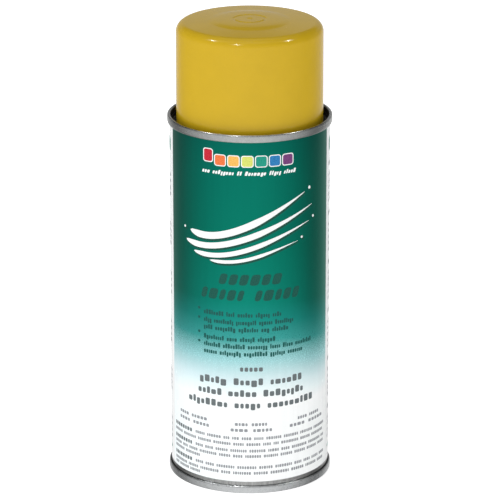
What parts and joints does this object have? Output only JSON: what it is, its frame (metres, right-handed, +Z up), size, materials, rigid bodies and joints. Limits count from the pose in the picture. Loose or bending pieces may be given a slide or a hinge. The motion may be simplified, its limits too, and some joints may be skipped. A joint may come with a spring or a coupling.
{
  "type": "aerosol spray can",
  "caption": "Free-standing aerosol paint can: seamed tinplate body with domed ends, spray valve with dip tube, press button and lift-off plastic overcap.",
  "frame": {"origin": "centre of the standing ring, on the plane the can stands on", "axes": "+Z up along the can's axis, -Y towards the side the spray nozzle and the front of the print face, +X to the right of someone looking at the front"},
  "size_m": [0.068, 0.068, 0.1948],
  "materials": {
    "printed_tinplate": "gloss",
    "bare_tinplate": "satin",
    "seaming_compound": "matte",
    "cup_tinplate": "satin",
    "gasket_rubber": "matte",
    "valve_plastic": "satin",
    "spring_steel": "polished",
    "tube_plastic": "satin",
    "button_plastic": "satin",
    "insert_plastic": "satin",
    "overcap_plastic": "gloss",
    "ball_glass": "polished"
  },
  "bodies": {
    "can": {"can_body": "printed_tinplate", "top_dome": "bare_tinplate", "bottom_dome": "bare_tinplate", "top_seam_compound": "seaming_compound", "bottom_seam_compound": "seaming_compound", "mounting_cup": "cup_tinplate", "cup_gasket": "gasket_rubber", "stem_gasket": "gasket_rubber", "valve_housing": "valve_plastic", "valve_spring": "spring_steel", "dip_tube": "tube_plastic"},
    "cap": {"overcap": "overcap_plastic"},
    "stem": {"valve_stem": "valve_plastic"},
    "button": {"spray_button": "button_plastic", "nozzle_insert": "insert_plastic"},
    "ball_a": {"mixing_ball_a": "ball_glass"},
    "ball_b": {"mixing_ball_b": "ball_glass"}
  },
  "joints": [
    {"name": "overcap_lift", "type": "slide", "parent": "can", "child": "cap", "axis": [0, 0, 1], "range_m": [0, 0.06]},
    {"name": "stem_press", "type": "slide", "parent": "can", "child": "stem", "axis": [0, 0, -1], "range_m": [0, 0.0015], "stiffness_N_per_m": 600, "springref_m": -0.008, "deforming": ["valve_spring"]},
    {"name": "button_turn", "type": "hinge", "parent": "stem", "child": "button", "pos_m": [0, 0, 0.1678], "axis": [0, 0, 1], "continuous": true},
    {"name": "ball_a_shake", "type": "slide", "parent": "can", "child": "ball_a", "axis": [0, 0, 1], "range_m": [0, 0.12]},
    {"name": "ball_b_roll", "type": "hinge", "parent": "can", "child": "ball_b", "pos_m": [0, 0, 0.0148], "axis": [0, 0, 1], "range_deg": [-90, 125]}
  ]
}
